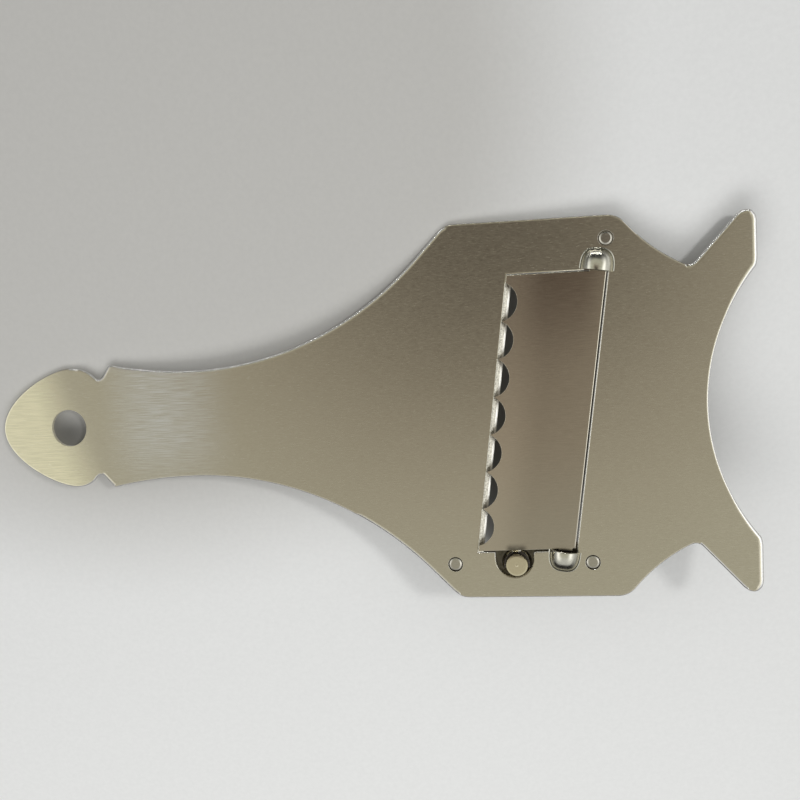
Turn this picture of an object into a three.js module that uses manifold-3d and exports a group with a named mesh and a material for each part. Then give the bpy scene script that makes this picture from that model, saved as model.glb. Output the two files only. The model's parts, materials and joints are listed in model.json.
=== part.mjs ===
// Truffle slicer: a stamped steel plate with a handle, a rocking scalloped blade and its adjusting screw.
// Millimetres, +X towards the prongs, +Z up. The plate lies level and the knob's foot is at z = 0.
import * as THREE from 'three';
import { mergeVertices } from 'three/addons/utils/BufferGeometryUtils.js';
import Module from 'manifold-3d';

const wasm = await Module();
wasm.setup();

// Plate outline
const handleLength = 112.57;
const bodyLength = 69.43;
const bodyWidth = 87.8;
const plateThickness = 1.2;
const edgeRound = 0.35;
const leafLength = 18.4;
const leafWidth = 29.4;
const leafTipFullness = 0.53;
const leafSideFullness = 0.28;
const thumbNotchInset = 25.2;
const thumbNotchWidth = 23.2;
const thumbNotchRound = 0.8;
const shoulderInset = 29;
const shoulderWidth = 30.1;
const shoulderRound = 0.4;
const neckWidth = 25.8;
const flankRadius = 78;
const flankAngle = THREE.MathUtils.degToRad(46);
const cornerRound = 5.5;
const hangHoleInset = 17.2;
const hangHoleDiameter = 9;

// Front edge with its two prongs
const frontArcRadius = 48.3;
const frontArcDepth = 11.3;
const heelReach = 0.8;
const heelRound = 2.8;
const bayInset = 30.3;
const bayDrop = 4.1;
const bayRadius = 39;
const baySteep = THREE.MathUtils.degToRad(48);
const bayShallow = THREE.MathUtils.degToRad(28);
const prongRootInset = 14.45;
const prongRootRound = 1.9;
const prongReach = 9.95;
const prongSlope = THREE.MathUtils.degToRad(47.5);
const prongTipRound = 1.65;

// Window and blade
const skew = THREE.MathUtils.degToRad(8.2);
const windowPlace = 0.534351;
const windowWidth = 22.9;
const windowMarginTop = 12.2;
const windowMarginBottom = 10.9;
const lipBevel = 1.3;
const bladeThickness = 0.8;
const bladeGap = 0.5;
const scallopCount = 7;
const scallopDepth = 3.05;
const scallopEndLand = 1.38;
const edgeLand = 0.12;
const grindWidth = 1.8;
const restTilt = THREE.MathUtils.degToRad(3);

// Blade pivots: flat tabs rocking in two pressed housings
const pivotInset = 2.1;
const pivotDrop = 0.3;
const tabWidth = 3.2;
const tabReach = 3.2;
const housingWidth = 7.9;
const housingDepth = 5.2;
const housingHeight = 2.5;
const housingWall = 0.8;

// Adjusting screw, its neck and end disc, and the blade's fork
const screwFromLip = 9.36;
const screwInset = 8.1;
const screwEndChamfer = 0.4;
const screwDiameter = 6;
const neckDiameter = 3.2;
const neckHeight = 2.2;
const discDiameter = 5.1;
const discThickness = 1.2;
const discChamfer = 0.3;
const notchWidth = 8.8;
const notchDepth = 6.2;
const notchOffset = 0.5;
const forkClearance = 0.3;
const forkArm = 1.1;
const forkDrop = 0.5;
const forkNeckWidth = 2;
const forkLegs = 1;

// Bracket, clip and rivets under the plate
const stripThickness = 1.2;
const stripWidth = 9.2;
const collarHeight = 3.2;
const collarWall = 1.5;
const threadClearance = 0.2;
const rivetDiameter = 3;
const rivetHeadDiameter = 4.8;
const rivetHeadHeight = 0.8;
const rivetClearance = 0.1;
const rearRivetBehindLip = 5.14;
const frontRivetPastWindow = 4.06;
const bracketRivetInset = 8.1;
const clipRivetBeforeWindow = 1.38;
const clipRivetInset = 5.2;
const clipLength = 12.4;
const clipWidth = 10;
const stripEndRound = 3;

// Knob, washer and tension spring on the screw
const knobDiameter = 14;
const knobHeight = 7;
const knobChamfer = 0.7;
const knurlCount = 36;
const knurlDepth = 0.4;
const knobFloor = 1.6;
const washerThickness = 0.6;
const washerDiameter = 11.4;
const washerRound = 0.15;
const springSpace = 6;
const springWire = 0.7;
const springMeanDiameter = 8.4;
const springTurns = 3.5;
const seatGap = 0.15;

// Heights, from the knob's foot up to the top of the plate
const knobTop = knobHeight;
const washerTop = knobTop + washerThickness;
const collarFoot = washerTop + springSpace;
const stripFoot = collarFoot + collarHeight;
const plateFoot = stripFoot + stripThickness;
const plateTop = plateFoot + plateThickness;
const pivotZ = plateTop - pivotDrop;

// Places worked out from the outline
const overallLength = handleLength + bodyLength;
const handleTip = -overallLength / 2;
const front = overallLength / 2;
const halfWidth = bodyWidth / 2;
const windowTop = halfWidth - windowMarginTop;
const windowBottom = -halfWidth + windowMarginBottom;
const alongSkew = Math.tan(skew);
const acrossSkew = 1 / Math.cos(skew);
const windowBackAt = (y) => front - bodyLength * windowPlace + y * alongSkew;
const lipAt = (y) => windowBackAt(y) - windowWidth;
const pivotAt = (y) => windowBackAt(y) - (bladeGap + pivotInset) * acrossSkew;
const screwY = -halfWidth + screwInset;
const screwX = lipAt(screwY) + screwFromLip;
const bracketRivetY = -halfWidth + bracketRivetInset;
const rearRivetX = lipAt(bracketRivetY) - rearRivetBehindLip;
const frontRivetX = windowBackAt(bracketRivetY) + frontRivetPastWindow;
const clipRivetY = halfWidth - clipRivetInset;
const clipRivetX = windowBackAt(clipRivetY) - clipRivetBeforeWindow;
const rivetPlaces = [
  [rearRivetX, bracketRivetY],
  [frontRivetX, bracketRivetY],
  [clipRivetX, clipRivetY],
];
const pivotAxis = new THREE.Vector3(Math.sin(skew), Math.cos(skew), 0);

const steel = (color, roughness) => new THREE.MeshStandardMaterial({ color, roughness, metalness: 1 });
const brushedSteel = steel(0x9a937c, 0.38);
const bladeSteel = steel(0x8c8069, 0.32);
const backSteel = steel(0x8f8b80, 0.45);
const rivetSteel = steel(0xa59c85, 0.3);
const nickelSteel = steel(0xa69a78, 0.35);
const springSteel = steel(0x86847f, 0.3);

// A closed geometry as a solid that can be joined and cut
function solidOf(geometry) {
  const bare = geometry.index ? geometry.toNonIndexed() : geometry.clone();
  bare.deleteAttribute('normal');
  bare.deleteAttribute('uv');
  const merged = mergeVertices(bare, 1e-4);
  return new wasm.Manifold(new wasm.Mesh({
    numProp: 3,
    vertProperties: new Float32Array(merged.attributes.position.array),
    triVerts: new Uint32Array(merged.index.array),
  }));
}

function geometryOf(solid) {
  const mesh = solid.getMesh();
  const geometry = new THREE.BufferGeometry();
  geometry.setAttribute('position', new THREE.BufferAttribute(new Float32Array(mesh.vertProperties), 3));
  geometry.setIndex(new THREE.BufferAttribute(new Uint32Array(mesh.triVerts), 1));
  geometry.computeVertexNormals();
  return geometry;
}

function piece(name, geometry, material) {
  const mesh = new THREE.Mesh(geometry, material);
  mesh.name = name;
  return mesh;
}

// A closed skin through rings of equally many points, each ring turning the same way seen from above
function loft(rings) {
  const positions = [];
  const count = rings[0].length;
  const put = (...points) => points.forEach((p) => positions.push(p.x, p.y, p.z));
  for (let r = 0; r + 1 < rings.length; r += 1) {
    for (let i = 0; i < count; i += 1) {
      const next = (i + 1) % count;
      put(rings[r][i], rings[r][next], rings[r + 1][next]);
      put(rings[r][i], rings[r + 1][next], rings[r + 1][i]);
    }
  }
  const flat = (ring) => ring.map((p) => new THREE.Vector2(p.x, p.y));
  const top = rings[rings.length - 1];
  THREE.ShapeUtils.triangulateShape(flat(top), []).forEach(([a, b, c]) => put(top[a], top[b], top[c]));
  const foot = rings[0];
  THREE.ShapeUtils.triangulateShape(flat(foot), []).forEach(([a, b, c]) => put(foot[a], foot[c], foot[b]));
  const geometry = new THREE.BufferGeometry();
  geometry.setAttribute('position', new THREE.Float32BufferAttribute(positions, 3));
  return geometry;
}

function lathe(profile, segments) {
  const points = profile.map(([r, z]) => new THREE.Vector2(r, z));
  return new THREE.LatheGeometry(points, segments).rotateX(Math.PI / 2);
}

function cylinder(radius, foot, top, segments = 32) {
  const geometry = new THREE.CylinderGeometry(radius, radius, top - foot, segments);
  return geometry.rotateX(Math.PI / 2).translate(0, 0, (foot + top) / 2);
}

function circlePath(x, y, radius) {
  const path = new THREE.Path();
  path.absarc(x, y, radius, 0, 2 * Math.PI, true);
  return path;
}

function extrude(shape, foot, top, round = 0) {
  const geometry = new THREE.ExtrudeGeometry(shape, {
    depth: top - foot - 2 * round,
    curveSegments: 10,
    bevelEnabled: round > 0,
    bevelSize: round,
    bevelOffset: -round,
    bevelThickness: round,
    bevelSegments: 1,
  });
  return geometry.translate(0, 0, foot + round);
}

// Upper half of the plate's outline, from the handle's tip round to the middle of the front arc
function halfOutline() {
  const path = new THREE.Path();
  const leafX = handleTip + leafLength;
  const leafY = leafWidth / 2;
  const thumbX = handleTip + thumbNotchInset;
  const thumbY = thumbNotchWidth / 2;
  const shoulderX = handleTip + shoulderInset;
  const shoulderY = shoulderWidth / 2;
  const neckY = neckWidth / 2;
  path.moveTo(handleTip, 0);
  path.bezierCurveTo(
    handleTip,
    leafY * leafTipFullness,
    leafX - leafLength * leafSideFullness,
    leafY,
    leafX,
    leafY,
  );
  path.quadraticCurveTo(
    leafX + (thumbX - leafX) / 3,
    leafY,
    thumbX - thumbNotchRound,
    thumbY + thumbNotchRound,
  );
  path.quadraticCurveTo(thumbX, thumbY, thumbX + thumbNotchRound, thumbY + thumbNotchRound);
  path.lineTo(shoulderX - shoulderRound, shoulderY - shoulderRound);
  path.quadraticCurveTo(shoulderX, shoulderY, shoulderX + shoulderRound, shoulderY);
  // Concave flank, then a straight run up to the rounded rear corner
  const rearX = front - bodyLength;
  const flankRise = flankRadius * (1 - Math.cos(flankAngle));
  const flankEndX = rearX - (halfWidth - neckY - flankRise) / Math.tan(flankAngle);
  const neckX = flankEndX - flankRadius * Math.sin(flankAngle);
  path.quadraticCurveTo((shoulderX + neckX) / 2, neckY, neckX, neckY);
  path.absarc(neckX, neckY + flankRadius, flankRadius, -Math.PI / 2, -Math.PI / 2 + flankAngle, false);
  const rearTrim = cornerRound * Math.tan(flankAngle / 2);
  path.lineTo(rearX - rearTrim * Math.cos(flankAngle), halfWidth - rearTrim * Math.sin(flankAngle));
  path.quadraticCurveTo(rearX, halfWidth, rearX + rearTrim, halfWidth);
  // Bay between the body and the prong: steep at the body's rounded corner, shallow at the prong's root
  const bayX = front - bayInset;
  const bayTrim = cornerRound * Math.tan(baySteep / 2);
  const along = (x, y, length, slope) => [x + length * Math.cos(slope), y + length * Math.sin(slope)];
  path.lineTo(bayX - bayTrim, halfWidth);
  path.quadraticCurveTo(bayX, halfWidth, ...along(bayX, halfWidth, bayTrim, -baySteep));
  const [bayStartX, bayStartY] = along(bayX, halfWidth, bayDrop, -baySteep);
  const [bayCentreX, bayCentreY] = along(bayStartX, bayStartY, bayRadius, Math.PI / 2 - baySteep);
  path.absarc(bayCentreX, bayCentreY, bayRadius, -Math.PI / 2 - baySteep, -Math.PI / 2 - bayShallow, false);
  const [bayEndX, bayEndY] = along(bayCentreX, bayCentreY, bayRadius, -Math.PI / 2 - bayShallow);
  const rootX = front - prongRootInset;
  const rootY = bayEndY - (rootX - bayEndX) * Math.tan(bayShallow);
  path.lineTo(...along(rootX, rootY, -prongRootRound, -bayShallow));
  path.quadraticCurveTo(rootX, rootY, ...along(rootX, rootY, prongRootRound, prongSlope));
  // Prong: straight inner edge, rounded tip, straight outer edge
  const tipX = rootX + prongReach;
  const tipY = rootY + prongReach * Math.tan(prongSlope);
  const arcX = front - frontArcDepth + frontArcRadius;
  const arcHalf = Math.acos((frontArcRadius - frontArcDepth + heelReach) / frontArcRadius);
  const arcEndX = arcX - frontArcRadius * Math.cos(arcHalf);
  const arcEndY = frontArcRadius * Math.sin(arcHalf);
  path.lineTo(tipX, tipY);
  path.bezierCurveTo(
    tipX + prongTipRound,
    tipY + prongTipRound,
    front,
    tipY + prongTipRound,
    front,
    tipY - prongTipRound,
  );
  path.lineTo(front, arcEndY + heelRound);
  path.quadraticCurveTo(front, arcEndY + heelReach, arcEndX, arcEndY);
  path.absarc(arcX, 0, frontArcRadius, Math.PI - arcHalf, Math.PI, false);
  return path.getPoints(10);
}

function plateOutline() {
  const upper = halfOutline();
  const lower = upper.slice(1, -1).reverse().map((p) => new THREE.Vector2(p.x, -p.y));
  return new THREE.Shape([...upper, ...lower].reverse());
}

// Skewed window, with the round-ended notch for the screw in its lower end
function windowHole() {
  const lipFoot = (y) => lipAt(y) + lipBevel * acrossSkew;
  const hole = new THREE.Path();
  const radius = notchWidth / 2;
  const notchX = screwX - notchOffset;
  const roundY = windowBottom - notchDepth + radius;
  hole.moveTo(windowBackAt(windowTop), windowTop);
  hole.lineTo(lipFoot(windowTop), windowTop);
  hole.lineTo(lipFoot(windowBottom), windowBottom);
  hole.lineTo(notchX - radius, windowBottom);
  hole.lineTo(notchX - radius, roundY);
  hole.absarc(notchX, roundY, radius, Math.PI, 2 * Math.PI, false);
  hole.lineTo(notchX + radius, windowBottom);
  hole.lineTo(windowBackAt(windowBottom), windowBottom);
  hole.closePath();
  return hole;
}

// Sloping face of the window's lip, as the wedge that is ground away
function lipWedge() {
  const over = 0.4;
  const slope = (lipBevel * acrossSkew) / plateThickness;
  const section = (y) => [
    new THREE.Vector3(lipAt(y) - over * slope, y, plateTop + over),
    new THREE.Vector3(lipAt(y) + (plateThickness + over) * slope, y, plateFoot - over),
    new THREE.Vector3(lipAt(y) + (plateThickness + 2 * over) * slope, y, plateTop + over),
  ];
  const [a, b, c] = section(windowBottom);
  const [d, e, f] = section(windowTop);
  const faces = [a, b, c, d, f, e, a, d, e, a, e, b, b, e, f, b, f, c, c, f, d, c, d, a];
  const geometry = new THREE.BufferGeometry();
  geometry.setFromPoints(faces);
  return geometry;
}

// A housing is half of an egg-shaped shell, its mouth open to the window and to the underside
function housingEgg(y, inset) {
  const egg = new THREE.SphereGeometry(1, 24, 14).rotateX(Math.PI / 2);
  egg.scale(housingWidth / 2 - inset, housingDepth - inset, housingHeight - inset);
  return egg.rotateZ(-skew).translate(pivotAt(y), y, plateTop);
}

function housingPocket(y) {
  const pocket = cylinder(1, plateFoot - plateThickness, plateTop, 24);
  pocket.scale(housingWidth / 2 - housingWall, housingDepth - housingWall, 1);
  return pocket.rotateZ(-skew).translate(pivotAt(y), y, 0);
}

function keepOutside(y, side) {
  const reach = housingDepth + housingWidth;
  const box = new THREE.BoxGeometry(2 * reach, reach, 4 * housingHeight);
  return solidOf(box.translate(pivotAt(y), y + (side * reach) / 2, plateTop + 2 * housingHeight));
}

function bodyPlate() {
  const shape = plateOutline();
  shape.holes.push(circlePath(handleTip + hangHoleInset, 0, hangHoleDiameter / 2));
  let plate = solidOf(extrude(shape, plateFoot, plateTop, edgeRound));
  const cut = new THREE.Shape(windowHole().getPoints(10));
  plate = plate.subtract(solidOf(extrude(cut, plateFoot - plateThickness, plateTop + plateThickness)));
  plate = plate.subtract(solidOf(lipWedge()));
  const ends = [[windowTop, 1], [windowBottom, -1]];
  ends.forEach(([y, side]) => {
    const shell = solidOf(housingEgg(y, 0)).intersect(keepOutside(y, side));
    plate = plate.add(shell);
  });
  ends.forEach(([y]) => {
    plate = plate.subtract(solidOf(housingEgg(y, housingWall)));
    plate = plate.subtract(solidOf(housingPocket(y)));
  });
  rivetPlaces.forEach(([x, y]) => {
    plate = plate.subtract(rivetBore(x, y));
  });
  return geometryOf(plate);
}

// Blade outline at one level: the scalloped edge is set back by the grind
function bladeRing(setback, z) {
  const top = windowTop - bladeGap;
  const bottom = windowBottom + bladeGap;
  const backX = (y) => windowBackAt(y) - bladeGap * acrossSkew;
  const edgeX = (y) => lipAt(y) + setback * acrossSkew;
  const middle = (top + bottom) / 2;
  const along = (t, d) => new THREE.Vector3(
    edgeX(middle) + t * Math.sin(skew) - d * Math.cos(skew),
    middle + t * Math.cos(skew) + d * Math.sin(skew),
    z,
  );
  const ring = [];
  ring.push(new THREE.Vector3(backX(bottom), bottom, z), new THREE.Vector3(backX(top), top, z));
  ring.push(new THREE.Vector3(edgeX(top), top, z));
  const scallopPitch = ((top - bottom) * acrossSkew - 2 * scallopEndLand) / scallopCount;
  const half = scallopPitch / 2;
  const scallopRadius = (half ** 2 + scallopDepth ** 2) / (2 * scallopDepth);
  const centre = scallopRadius - scallopDepth;
  const sweep = Math.asin(half / scallopRadius);
  const steps = 8;
  for (let k = 0; k < scallopCount; k += 1) {
    const middleT = ((scallopCount - 1) / 2 - k) * scallopPitch;
    for (let i = k === 0 ? 0 : 1; i <= steps; i += 1) {
      const angle = sweep - (2 * sweep * i) / steps;
      ring.push(along(middleT + scallopRadius * Math.sin(angle), centre - scallopRadius * Math.cos(angle)));
    }
  }
  ring.push(new THREE.Vector3(edgeX(bottom), bottom, z));
  return ring;
}

function bladeTab(y, side) {
  const inside = tabReach;
  const reach = bladeGap + tabReach + inside;
  const tab = new THREE.BoxGeometry(tabWidth, reach, bladeThickness);
  tab.translate(0, side * (reach / 2 - inside - bladeGap), 0);
  return tab.rotateZ(-skew).translate(pivotAt(y), y, 0);
}

// Distance from the pivot line to the screw, and where the fork lies on the flat blade
const screwLever = (pivotAt(screwY) - screwX) * Math.cos(skew);
const flatLever = (screwLever - forkDrop * Math.sin(restTilt)) / Math.cos(restTilt);
const forkX = pivotAt(screwY) - flatLever / Math.cos(skew);
const forkZ = pivotZ + flatLever * Math.sin(restTilt) - forkDrop * Math.cos(restTilt);

function bladeFork() {
  const inner = neckDiameter / 2 + forkClearance;
  const outer = inner + forkArm;
  const legs = screwY - forkLegs;
  const fork = new THREE.Shape();
  fork.moveTo(forkX - outer, legs);
  fork.lineTo(forkX - inner, legs);
  fork.lineTo(forkX - inner, screwY);
  fork.absarc(forkX, screwY, inner, Math.PI, 0, true);
  fork.lineTo(forkX + inner, legs);
  fork.lineTo(forkX + outer, legs);
  fork.lineTo(forkX + outer, screwY);
  fork.absarc(forkX, screwY, outer, 0, Math.PI, false);
  fork.closePath();
  const half = bladeThickness / 2;
  const arms = solidOf(extrude(fork, -forkDrop - half, -forkDrop + half));
  // The neck steps down from the blade's end to the fork
  const end = windowBottom + bladeGap;
  const neck = new THREE.Shape();
  const root = end + forkNeckWidth;
  const bend = screwY + inner + forkArm;
  const tail = screwY + inner + forkClearance;
  neck.moveTo(root, -half);
  neck.lineTo(root, half);
  neck.lineTo(end, half);
  neck.lineTo(bend, -forkDrop + half);
  neck.lineTo(tail, -forkDrop + half);
  neck.lineTo(tail, -forkDrop - half);
  neck.lineTo(bend, -forkDrop - half);
  neck.lineTo(end, -half);
  neck.closePath();
  const stem = new THREE.ExtrudeGeometry(neck, { depth: forkNeckWidth, bevelEnabled: false });
  stem.translate(0, 0, -forkNeckWidth / 2);
  stem.applyMatrix4(new THREE.Matrix4().makeBasis(
    new THREE.Vector3(0, 1, 0),
    new THREE.Vector3(0, 0, 1),
    new THREE.Vector3(1, 0, 0),
  ));
  return arms.add(solidOf(stem.translate(forkX, 0, 0)));
}

// The blade is drawn flat about its pivot line, then tilted to its rest setting
function blade() {
  const half = bladeThickness / 2;
  const rings = [bladeRing(grindWidth, -half), bladeRing(0, half - edgeLand), bladeRing(0, half)];
  let solid = solidOf(loft(rings));
  solid = solid.add(solidOf(bladeTab(windowTop, 1))).add(solidOf(bladeTab(windowBottom, -1)));
  solid = solid.add(bladeFork());
  const group = new THREE.Group();
  group.position.set(pivotAt(0), 0, pivotZ);
  group.quaternion.setFromAxisAngle(pivotAxis, restTilt);
  group.add(piece('blade', geometryOf(solid).translate(-pivotAt(0), 0, 0), bladeSteel));
  return group;
}

function roundedStrip(x0, x1, y0, y1, round) {
  const strip = new THREE.Shape();
  strip.moveTo(x0 + round, y0);
  strip.lineTo(x1 - round, y0);
  strip.absarc(x1 - round, y0 + round, round, -Math.PI / 2, 0, false);
  strip.absarc(x1 - round, y1 - round, round, 0, Math.PI / 2, false);
  strip.lineTo(x0 + round, y1);
  strip.absarc(x0 + round, y1 - round, round, Math.PI / 2, Math.PI, false);
  strip.absarc(x0 + round, y0 + round, round, Math.PI, 1.5 * Math.PI, false);
  return strip;
}

// Hole right through the strip and the plate for a rivet's shank
function rivetBore(x, y) {
  const bore = cylinder(rivetDiameter / 2 + rivetClearance, collarFoot, plateTop + plateThickness);
  return solidOf(bore.translate(x, y, 0));
}

// Bracket strip with the tapped collar drawn down from it
function screwBracket() {
  const endReach = stripWidth / 2;
  const strip = roundedStrip(
    rearRivetX - endReach,
    frontRivetX + endReach,
    bracketRivetY - stripWidth / 2,
    bracketRivetY + stripWidth / 2,
    stripEndRound,
  );
  const boreRadius = screwDiameter / 2 + threadClearance;
  const collar = cylinder(boreRadius + collarWall, collarFoot, stripFoot + stripThickness / 2);
  const bore = cylinder(boreRadius, washerTop, plateTop);
  let solid = solidOf(extrude(strip, stripFoot, plateFoot));
  solid = solid.add(solidOf(collar.translate(screwX, screwY, 0)));
  solid = solid.subtract(solidOf(bore.translate(screwX, screwY, 0)));
  solid = solid.subtract(rivetBore(rearRivetX, bracketRivetY));
  solid = solid.subtract(rivetBore(frontRivetX, bracketRivetY));
  return geometryOf(solid);
}

function pivotClip() {
  const middle = (pivotAt(windowTop) + clipRivetX) / 2;
  const strip = roundedStrip(
    middle - clipLength / 2,
    middle + clipLength / 2,
    windowTop,
    windowTop + clipWidth,
    stripEndRound,
  );
  const solid = solidOf(extrude(strip, stripFoot, plateFoot));
  return geometryOf(solid.subtract(rivetBore(clipRivetX, clipRivetY)));
}

function rivet(x, y) {
  const shank = rivetDiameter / 2;
  const head = rivetHeadDiameter / 2;
  const headFoot = stripFoot - rivetHeadHeight;
  return lathe([
    [0, headFoot],
    [head * 0.6, headFoot],
    [head, headFoot + rivetHeadHeight * 0.6],
    [head, stripFoot],
    [shank, stripFoot],
    [shank, plateTop],
    [0, plateTop],
  ], 32).translate(x, y, 0);
}

function adjustingScrew() {
  const shank = screwDiameter / 2;
  const neck = neckDiameter / 2;
  const disc = discDiameter / 2;
  const neckFoot = forkZ - neckHeight / 2;
  const discFoot = forkZ + neckHeight / 2;
  const discTop = discFoot + discThickness;
  const profile = [
    [0, knobFloor],
    [shank - screwEndChamfer, knobFloor],
    [shank, knobFloor + screwEndChamfer],
    [shank, neckFoot - screwEndChamfer],
    [shank - screwEndChamfer, neckFoot],
    [neck, neckFoot],
    [neck, discFoot],
    [disc, discFoot],
    [disc, discTop - discChamfer],
    [disc - discChamfer, discTop],
    [0, discTop],
  ];
  return lathe(profile, 40).translate(screwX, screwY, 0);
}

function knurledKnob() {
  const outer = knobDiameter / 2;
  const ring = (radius, z, depth) => {
    const points = [];
    for (let i = 0; i < 2 * knurlCount; i += 1) {
      const r = radius - (i % 2) * depth;
      const angle = (Math.PI * i) / knurlCount;
      points.push(new THREE.Vector3(r * Math.cos(angle), r * Math.sin(angle), z));
    }
    return points;
  };
  const knob = solidOf(loft([
    ring(outer - knobChamfer - knurlDepth, 0, 0),
    ring(outer, knobChamfer, knurlDepth),
    ring(outer, knobHeight - knobChamfer, knurlDepth),
    ring(outer - knobChamfer - knurlDepth, knobHeight, 0),
  ]));
  const bore = cylinder(screwDiameter / 2 + threadClearance, knobFloor - seatGap, washerTop);
  return geometryOf(knob.subtract(solidOf(bore))).translate(screwX, screwY, 0);
}

function springWasher() {
  const inner = screwDiameter / 2 + 2 * threadClearance;
  const outer = washerDiameter / 2;
  return lathe([
    [inner, knobTop],
    [outer - washerRound, knobTop],
    [outer, knobTop + washerRound],
    [outer, washerTop - washerRound],
    [outer - washerRound, washerTop],
    [inner, washerTop],
    [inner, knobTop],
  ], 40).translate(screwX, screwY, 0);
}

// Wound spring: one unbroken wire whose two ends stand square on their seats
function tensionSpring() {
  const radius = springMeanDiameter / 2;
  const foot = washerTop + seatGap;
  const top = collarFoot - seatGap;
  const stepsPerTurn = 8;
  const steps = Math.round(springTurns * stepsPerTurn);
  const rise = top - foot - 2 * springWire;
  const at = (angle, z) => new THREE.Vector3(radius * Math.cos(angle), radius * Math.sin(angle), z);
  const points = [at(0, foot), at(0, foot + springWire * 0.8)];
  const lead = 0.12;
  for (let i = 0; i <= steps; i += 1) {
    const share = i / steps;
    const angle = 2 * Math.PI * springTurns * share;
    const shift = lead * (1 - 2 * share);
    points.push(at(angle + shift, foot + springWire + rise * share));
  }
  const last = 2 * Math.PI * springTurns;
  points.push(at(last, top - springWire * 0.8), at(last, top));
  const path = new THREE.CatmullRomCurve3(points);
  const section = new THREE.Shape();
  for (let i = 0; i < 5; i += 1) {
    const angle = (2 * Math.PI * i) / 5;
    const corner = [(springWire / 2) * Math.cos(angle), (springWire / 2) * Math.sin(angle)];
    if (i === 0) section.moveTo(...corner);
    else section.lineTo(...corner);
  }
  section.closePath();
  const geometry = new THREE.ExtrudeGeometry(section, {
    steps: steps + 12,
    extrudePath: path,
    bevelEnabled: false,
  });
  console.log('spring: least gap between coils', springSelfGap(path).toFixed(2), 'mm');
  return geometry.translate(screwX, screwY, 0);
}

function springSelfGap(path) {
  const points = path.getSpacedPoints(600);
  const apart = path.getLength() / 600;
  let least = Infinity;
  points.forEach((p, i) => {
    for (let j = i + 1; j < points.length; j += 1) {
      if ((j - i) * apart > 6 * springWire) least = Math.min(least, p.distanceTo(points[j]) - springWire);
    }
  });
  return least;
}

const slicer = new THREE.Group();
slicer.add(piece('body_plate', bodyPlate(), brushedSteel));
slicer.add(blade());
slicer.add(piece('screw_bracket', screwBracket(), backSteel));
slicer.add(piece('pivot_clip', pivotClip(), backSteel));
rivetPlaces.forEach(([x, y], i) => slicer.add(piece(`rivet_${i + 1}`, rivet(x, y), rivetSteel)));
slicer.add(piece('adjusting_screw', adjustingScrew(), nickelSteel));
slicer.add(piece('knurled_knob', knurledKnob(), nickelSteel));
slicer.add(piece('spring_washer', springWasher(), backSteel));
slicer.add(piece('tension_spring', tensionSpring(), springSteel));

export default slicer;
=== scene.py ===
import bpy
import bmesh
import json
from math import acos, asin, atan2, comb, copysign, cos, dist, pi, radians, sin, sqrt, tan
from mathutils import Matrix, Vector


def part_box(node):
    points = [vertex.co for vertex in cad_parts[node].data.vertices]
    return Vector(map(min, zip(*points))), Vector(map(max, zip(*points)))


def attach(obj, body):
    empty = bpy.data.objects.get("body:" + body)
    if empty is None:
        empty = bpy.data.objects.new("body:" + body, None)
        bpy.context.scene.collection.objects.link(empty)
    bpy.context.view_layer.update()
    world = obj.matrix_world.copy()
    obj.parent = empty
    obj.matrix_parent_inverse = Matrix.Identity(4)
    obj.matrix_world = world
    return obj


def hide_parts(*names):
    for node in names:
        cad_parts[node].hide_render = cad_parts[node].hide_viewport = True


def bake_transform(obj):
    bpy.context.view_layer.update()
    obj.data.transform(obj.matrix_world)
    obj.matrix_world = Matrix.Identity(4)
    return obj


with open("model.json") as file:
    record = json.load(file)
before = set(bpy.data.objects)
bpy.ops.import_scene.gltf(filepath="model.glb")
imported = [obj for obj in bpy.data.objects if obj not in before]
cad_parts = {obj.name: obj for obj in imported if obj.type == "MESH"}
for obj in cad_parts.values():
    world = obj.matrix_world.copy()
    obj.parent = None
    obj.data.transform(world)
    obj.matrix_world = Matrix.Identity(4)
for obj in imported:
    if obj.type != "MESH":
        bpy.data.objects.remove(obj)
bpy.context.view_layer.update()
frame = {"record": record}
scene = bpy.context.scene
scene.view_settings.view_transform = "Standard"
mm = 0.001


def middleOf(name):
    low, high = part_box(name)
    return (low[0] + high[0]) / 2, (low[1] + high[1]) / 2


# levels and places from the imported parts, in metres, or in millimetres for outlines
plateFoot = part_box("body_plate")[0][2]
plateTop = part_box("rivet_1")[1][2]
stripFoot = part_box("pivot_clip")[0][2]
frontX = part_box("body_plate")[1][0] / mm
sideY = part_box("body_plate")[1][1] / mm
tipX = -frontX
rivetNames = ("rivet_1", "rivet_2", "rivet_3")
screwAxis = Vector((*middleOf("knurled_knob"), 0))
screwX, screwY = screwAxis.x / mm, screwAxis.y / mm
joints = {j["name"]: j for j in frame["record"]["behaviour"]["joints"]}
pivotPoint = Vector(joints["blade_tilt"]["pos_m"])
pivotAxis = Vector(joints["blade_tilt"]["axis"]).normalized()
skew = atan2(pivotAxis.x, pivotAxis.y)
across = 1 / cos(skew)
print("frame loaded")


# drawing helpers, all in millimetres on the plate's plane
def spaced(a, b, n):
    return [a + (b - a) * i / n for i in range(n + 1)]


def bezier(n, *points):
    # the curve in n steps, without its first point
    degree = len(points) - 1
    out = []
    for t in spaced(0, 1, n)[1:]:
        weights = [comb(degree, k) * t ** k * (1 - t) ** (degree - k) for k in range(degree + 1)]
        out.append(tuple(sum(w * p[k] for w, p in zip(weights, points)) for k in (0, 1)))
    return out


def arc(cx, cy, r, a0, a1, n):
    return [(cx + r * cos(a), cy + r * sin(a)) for a in spaced(a0, a1, n)]


def circle(cx, cy, r, n):
    return arc(cx, cy, r, 0, 2 * pi, n)[:-1]


def along(x, y, length, slope):
    return x + length * cos(slope), y + length * sin(slope)


# mesh helpers
def makeObject(name, data):
    obj = bpy.data.objects.new(name, data)
    scene.collection.objects.link(obj)
    return obj


def meshFrom(bm, name):
    mesh = bpy.data.meshes.new(name)
    bm.to_mesh(mesh)
    bm.free()
    return mesh


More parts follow.
